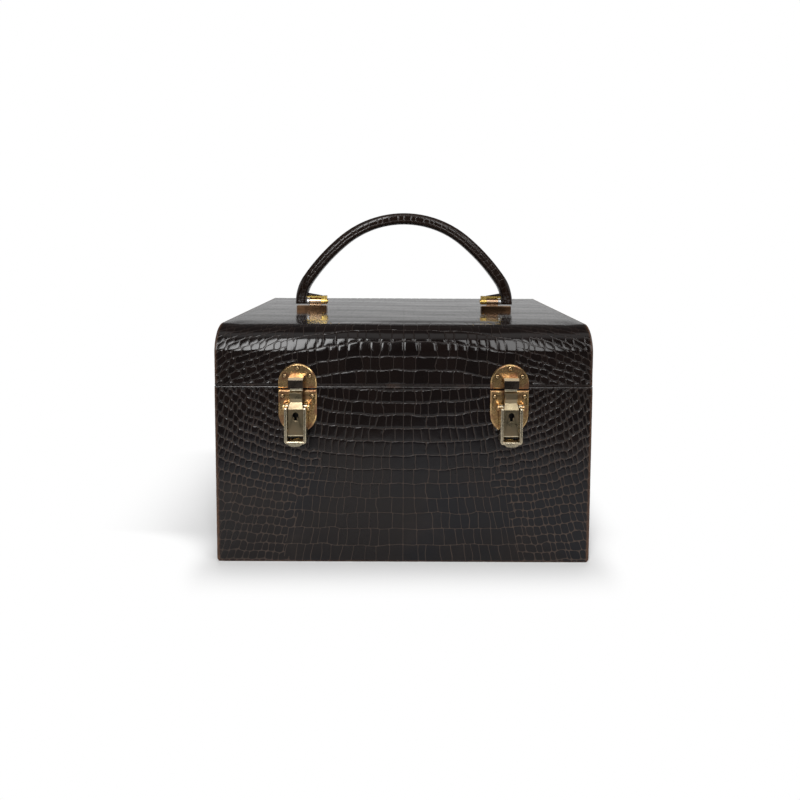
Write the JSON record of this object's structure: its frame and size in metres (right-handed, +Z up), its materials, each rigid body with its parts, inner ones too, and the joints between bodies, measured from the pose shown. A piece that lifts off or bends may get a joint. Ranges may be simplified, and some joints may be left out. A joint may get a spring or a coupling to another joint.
{
  "type": "vanity case",
  "caption": "Leather-covered vanity case with a hinged round-fronted lid, key latches, an arched folding handle, a lid mirror and a lift-out tray.",
  "frame": {"origin": "centre of the bottom face", "axes": "+Z up, +X to the right seen from the latches, the latches face -Y"},
  "size_m": [0.305, 0.2482, 0.2893],
  "materials": {
    "crocodile_leather": "glossy, embossed scales",
    "trim_leather": "smooth",
    "board": "plain",
    "tray_board": "cloth covered",
    "lining": "moire silk",
    "mirror": "silvered",
    "brass": "worn plate",
    "steel": "plain"
  },
  "bodies": {
    "case": {"body_carcass": "board", "body_leather_front": "crocodile_leather", "body_leather_back": "crocodile_leather", "body_leather_left": "crocodile_leather", "body_leather_right": "crocodile_leather", "body_leather_bottom": "crocodile_leather", "body_rim_binding": "trim_leather", "body_lining_walls": "lining", "body_floor_pad": "lining", "tray_ledges": "board", "latch_rivets": "brass", "hinge_rivets_body": "brass", "latch_base_left": "brass", "latch_base_right": "brass", "lever_pins_left": "brass", "lever_pins_right": "brass", "hinge_body_leaf_left": "brass", "hinge_body_leaf_right": "brass", "hinge_pin_left": "brass", "hinge_pin_right": "brass"},
    "lid": {"lid_carcass": "board", "lid_leather_wrap": "crocodile_leather", "lid_leather_left": "crocodile_leather", "lid_leather_right": "crocodile_leather", "lid_rim_binding": "trim_leather", "lid_lining": "lining", "mirror_backing": "board", "mirror_glass": "mirror", "mirror_frame": "trim_leather", "strike_rivets": "brass", "hinge_rivets_lid": "brass", "handle_base_nuts": "steel", "latch_strike_left": "brass", "latch_strike_right": "brass", "hinge_lid_leaf_left": "brass", "hinge_lid_leaf_right": "brass", "handle_base_left": "brass", "handle_base_right": "brass"},
    "carrying_handle": {"handle_cover": "crocodile_leather", "handle_lining": "trim_leather", "handle_core": "steel", "handle_spacers": "steel", "handle_yoke_left": "brass", "handle_yoke_right": "brass", "handle_pin_left": "steel", "handle_pin_right": "steel"},
    "lift_tray": {"tray": "tray_board", "tray_tabs": "lining"},
    "latch_lever_left": {"lever_left": "brass", "hasp_pins_left": "brass"},
    "latch_hasp_left": {"hasp_left": "brass", "lock_case_left": "steel"},
    "latch_lock_left": {"lock_bolt_left": "steel"},
    "latch_lever_right": {"lever_right": "brass", "hasp_pins_right": "brass"},
    "latch_hasp_right": {"hasp_right": "brass", "lock_case_right": "steel"},
    "latch_lock_right": {"lock_bolt_right": "steel"}
  },
  "joints": [
    {"name": "lid_hinge", "type": "hinge", "parent": "case", "child": "lid", "pos_m": [0, 0.1177, 0.1462], "axis": [-1, 0, 0], "range_deg": [0, 100]},
    {"name": "handle_fold", "type": "hinge", "parent": "lid", "child": "carrying_handle", "pos_m": [0, 0, 0.2023], "axis": [1, 0, 0], "range_deg": [-86, 86]},
    {"name": "tray_lift", "type": "slide", "parent": "case", "child": "lift_tray", "axis": [0, 0, 1], "range_m": [0, 0.03]},
    {"name": "lever_left", "type": "hinge", "parent": "case", "child": "latch_lever_left", "pos_m": [-0.0853, -0.121, 0.1307], "axis": [-1, 0, 0], "range_deg": [0, 75]},
    {"name": "hasp_left", "type": "hinge", "parent": "latch_lever_left", "child": "latch_hasp_left", "pos_m": [-0.0853, -0.121, 0.1267], "axis": [-1, 0, 0], "range_deg": [-62, 0]},
    {"name": "bolt_left", "type": "slide", "parent": "latch_hasp_left", "child": "latch_lock_left", "axis": [0, 0, -1], "range_m": [0, 0.0043]},
    {"name": "lever_right", "type": "hinge", "parent": "case", "child": "latch_lever_right", "pos_m": [0.0853, -0.121, 0.1307], "axis": [-1, 0, 0], "range_deg": [0, 75]},
    {"name": "hasp_right", "type": "hinge", "parent": "latch_lever_right", "child": "latch_hasp_right", "pos_m": [0.0853, -0.121, 0.1267], "axis": [-1, 0, 0], "range_deg": [-62, 0]},
    {"name": "bolt_right", "type": "slide", "parent": "latch_hasp_right", "child": "latch_lock_right", "axis": [0, 0, -1], "range_m": [0, 0.0043]}
  ],
  "couplings": [
    {"joint": "hasp_left", "follows": "lever_left", "ratio": -0.825},
    {"joint": "hasp_right", "follows": "lever_right", "ratio": -0.825}
  ]
}
